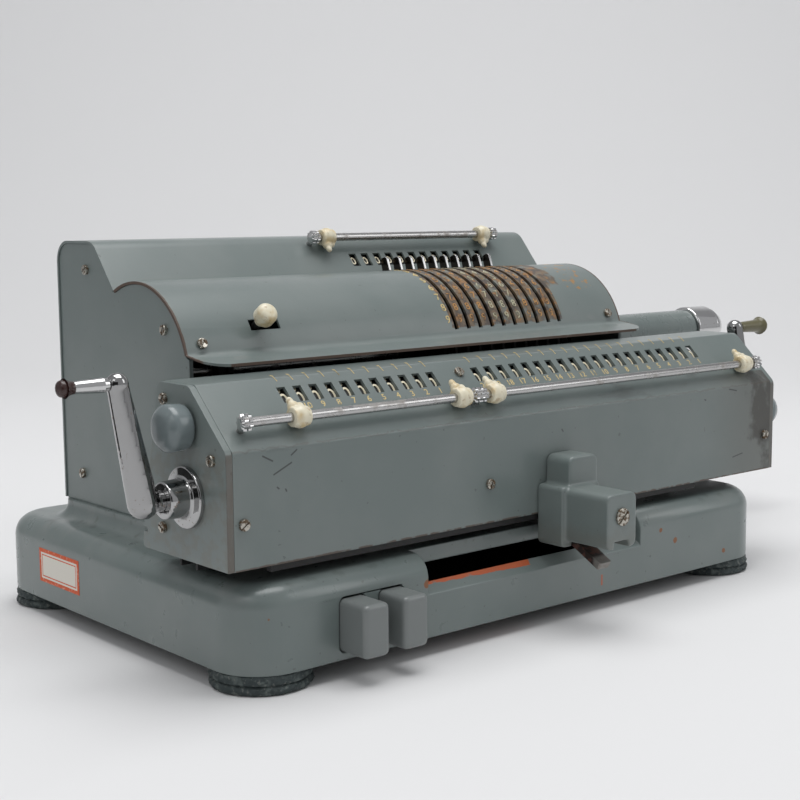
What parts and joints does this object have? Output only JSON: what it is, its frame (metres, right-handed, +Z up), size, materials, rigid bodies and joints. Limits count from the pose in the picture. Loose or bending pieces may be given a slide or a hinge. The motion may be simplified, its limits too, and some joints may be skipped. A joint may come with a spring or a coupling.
{
  "type": "pinwheel calculator",
  "caption": "Hand-cranked pinwheel calculator with a slotted drum cover, setting levers, a sliding front carriage of dial registers and clearing cranks.",
  "frame": {"origin": "on the floor, midway between the side plates and 100 mm behind the front of the base", "axes": "+X along the machine to the crank side, +Y to the back, +Z up"},
  "size_m": [0.5302, 0.2482, 0.1792],
  "materials": {
    "enamel": "semi-gloss grey-green enamel",
    "knob_grey": "satin",
    "bottom_sheet": "matt black",
    "foot_rubber": "mottled",
    "steel": "bright",
    "dark_steel": "blackened",
    "brass": "plain",
    "screw_steel": "bright",
    "chrome": "polished",
    "dial_white": "matt white",
    "ivory": "polished",
    "key_plastic": "satin",
    "olive_plastic": "satin",
    "handle_metal": "polished",
    "grip_plastic": "polished"
  },
  "bodies": {
    "frame": {"base_casting": "enamel", "bottom_plate": "bottom_sheet", "feet": "foot_rubber", "left_side_plate": "enamel", "right_side_plate": "enamel", "drum_cover": "enamel", "rear_cover": "enamel", "crank_tube": "enamel", "drum_bearing": "brass", "frame_rods": "steel", "front_plate": "dark_steel", "check_wheels": "dial_white", "body_screws": "screw_steel", "rear_marker_rod": "steel", "carriage_rail": "steel"},
    "carriage": {"carriage_cover": "enamel", "carriage_left_end": "enamel", "carriage_right_end": "enamel", "carriage_frame": "dark_steel", "marker_rods": "steel", "lower_rail": "dark_steel", "handle_casting": "enamel", "carriage_screws": "screw_steel", "crank_flanges": "chrome"},
    "counter_crank": {"counter_crank_arm": "chrome", "counter_crank_handle": "handle_metal"},
    "counter_register": {"counter_shaft": "steel", "counter_knob": "knob_grey", "counter_dials": "dial_white"},
    "result_crank": {"result_crank_arm": "chrome", "result_crank_handle": "olive_plastic", "result_cap": "knob_grey"},
    "result_register": {"result_shaft": "steel", "result_dials": "dial_white"},
    "drum": {"drum_shaft": "steel", "pinwheel_drum": "dark_steel", "crank_hub": "enamel", "crank_arm": "chrome"},
    "grip": {"crank_grip": "grip_plastic"},
    "clutch": {"change_lever": "steel", "change_knob": "ivory"},
    "release": {"release_lever": "dark_steel"},
    "key_1": {"step_key_1": "key_plastic"},
    "key_2": {"step_key_2": "key_plastic"},
    "lever_1": {"setting_lever_1": "chrome"},
    "lever_2": {"setting_lever_2": "chrome"},
    "lever_3": {"setting_lever_3": "chrome"},
    "lever_4": {"setting_lever_4": "chrome"},
    "lever_5": {"setting_lever_5": "chrome"},
    "lever_6": {"setting_lever_6": "chrome"},
    "lever_7": {"setting_lever_7": "chrome"},
    "lever_8": {"setting_lever_8": "chrome"},
    "lever_9": {"setting_lever_9": "chrome"},
    "lever_10": {"setting_lever_10": "chrome"},
    "counter_pointer_1": {"counter_pointer_1": "ivory"},
    "counter_pointer_2": {"counter_pointer_2": "ivory"},
    "result_pointer_1": {"result_pointer_1": "ivory"},
    "result_pointer_2": {"result_pointer_2": "ivory"},
    "check_pointer_1": {"check_pointer_1": "ivory"},
    "check_pointer_2": {"check_pointer_2": "ivory"}
  },
  "joints": [
    {"name": "carriage_slide", "type": "slide", "parent": "frame", "child": "carriage", "axis": [1, 0, 0], "range_m": [-0.048, 0.016]},
    {"name": "crank_turn", "type": "hinge", "parent": "frame", "child": "drum", "pos_m": [0, 0.012, 0.116], "axis": [1, 0, 0], "continuous": true},
    {"name": "grip_spin", "type": "hinge", "parent": "drum", "child": "grip", "pos_m": [0.26455, 0.012, 0.061], "axis": [1, 0, 0], "continuous": true},
    {"name": "counter_crank_turn", "type": "hinge", "parent": "carriage", "child": "counter_crank", "pos_m": [0, -0.06628, 0.0769], "axis": [1, 0, 0], "continuous": true},
    {"name": "counter_dials_turn", "type": "hinge", "parent": "carriage", "child": "counter_register", "pos_m": [0, -0.06628, 0.10488], "axis": [1, 0, 0], "continuous": true},
    {"name": "result_crank_turn", "type": "hinge", "parent": "carriage", "child": "result_crank", "pos_m": [0, -0.06628, 0.0769], "axis": [1, 0, 0], "continuous": true},
    {"name": "result_dials_turn", "type": "hinge", "parent": "carriage", "child": "result_register", "pos_m": [0, -0.06628, 0.10488], "axis": [1, 0, 0], "continuous": true},
    {"name": "change_slide", "type": "slide", "parent": "frame", "child": "clutch", "axis": [1, 0, 0], "range_m": [0, 0.008]},
    {"name": "release_squeeze", "type": "hinge", "parent": "carriage", "child": "release", "pos_m": [0, -0.1062, 0.0407], "axis": [1, 0, 0], "range_deg": [-18, 0], "stiffness_Nm_per_rad": 0.02, "springref_deg": 5.73},
    {"name": "key_1_press", "type": "slide", "parent": "frame", "child": "key_1", "axis": [0, 1, 0], "range_m": [0, 0.006], "stiffness_N_per_m": 250},
    {"name": "key_2_press", "type": "slide", "parent": "frame", "child": "key_2", "axis": [0, 1, 0], "range_m": [0, 0.006], "stiffness_N_per_m": 250},
    {"name": "setting_lever_1_turn", "type": "hinge", "parent": "frame", "child": "lever_1", "pos_m": [0, 0.012, 0.116], "axis": [1, 0, 0], "range_deg": [0, 81]},
    {"name": "setting_lever_2_turn", "type": "hinge", "parent": "frame", "child": "lever_2", "pos_m": [0, 0.012, 0.116], "axis": [1, 0, 0], "range_deg": [0, 81]},
    {"name": "setting_lever_3_turn", "type": "hinge", "parent": "frame", "child": "lever_3", "pos_m": [0, 0.012, 0.116], "axis": [1, 0, 0], "range_deg": [0, 81]},
    {"name": "setting_lever_4_turn", "type": "hinge", "parent": "frame", "child": "lever_4", "pos_m": [0, 0.012, 0.116], "axis": [1, 0, 0], "range_deg": [0, 81]},
    {"name": "setting_lever_5_turn", "type": "hinge", "parent": "frame", "child": "lever_5", "pos_m": [0, 0.012, 0.116], "axis": [1, 0, 0], "range_deg": [0, 81]},
    {"name": "setting_lever_6_turn", "type": "hinge", "parent": "frame", "child": "lever_6", "pos_m": [0, 0.012, 0.116], "axis": [1, 0, 0], "range_deg": [0, 81]},
    {"name": "setting_lever_7_turn", "type": "hinge", "parent": "frame", "child": "lever_7", "pos_m": [0, 0.012, 0.116], "axis": [1, 0, 0], "range_deg": [0, 81]},
    {"name": "setting_lever_8_turn", "type": "hinge", "parent": "frame", "child": "lever_8", "pos_m": [0, 0.012, 0.116], "axis": [1, 0, 0], "range_deg": [0, 81]},
    {"name": "setting_lever_9_turn", "type": "hinge", "parent": "frame", "child": "lever_9", "pos_m": [0, 0.012, 0.116], "axis": [1, 0, 0], "range_deg": [0, 81]},
    {"name": "setting_lever_10_turn", "type": "hinge", "parent": "frame", "child": "lever_10", "pos_m": [0, 0.012, 0.116], "axis": [1, 0, 0], "range_deg": [0, 81]},
    {"name": "counter_pointer_1_slide", "type": "slide", "parent": "carriage", "child": "counter_pointer_1", "axis": [1, 0, 0], "range_m": [-0.0185, 0.027]},
    {"name": "counter_pointer_2_slide", "type": "slide", "parent": "carriage", "child": "counter_pointer_2", "axis": [1, 0, 0], "range_m": [-0.04, 0.002]},
    {"name": "result_pointer_1_slide", "type": "slide", "parent": "carriage", "child": "result_pointer_1", "axis": [1, 0, 0], "range_m": [-0.002, 0.07]},
    {"name": "result_pointer_2_slide", "type": "slide", "parent": "carriage", "child": "result_pointer_2", "axis": [1, 0, 0], "range_m": [-0.07, 0.002]},
    {"name": "check_pointer_1_slide", "type": "slide", "parent": "frame", "child": "check_pointer_1", "axis": [1, 0, 0], "range_m": [-0.0015, 0.045]},
    {"name": "check_pointer_2_slide", "type": "slide", "parent": "frame", "child": "check_pointer_2", "axis": [1, 0, 0], "range_m": [-0.045, 0.0015]}
  ],
  "couplings": [
    {"joint": "counter_dials_turn", "follows": "counter_crank_turn", "ratio": -2},
    {"joint": "result_dials_turn", "follows": "result_crank_turn", "ratio": -2}
  ]
}
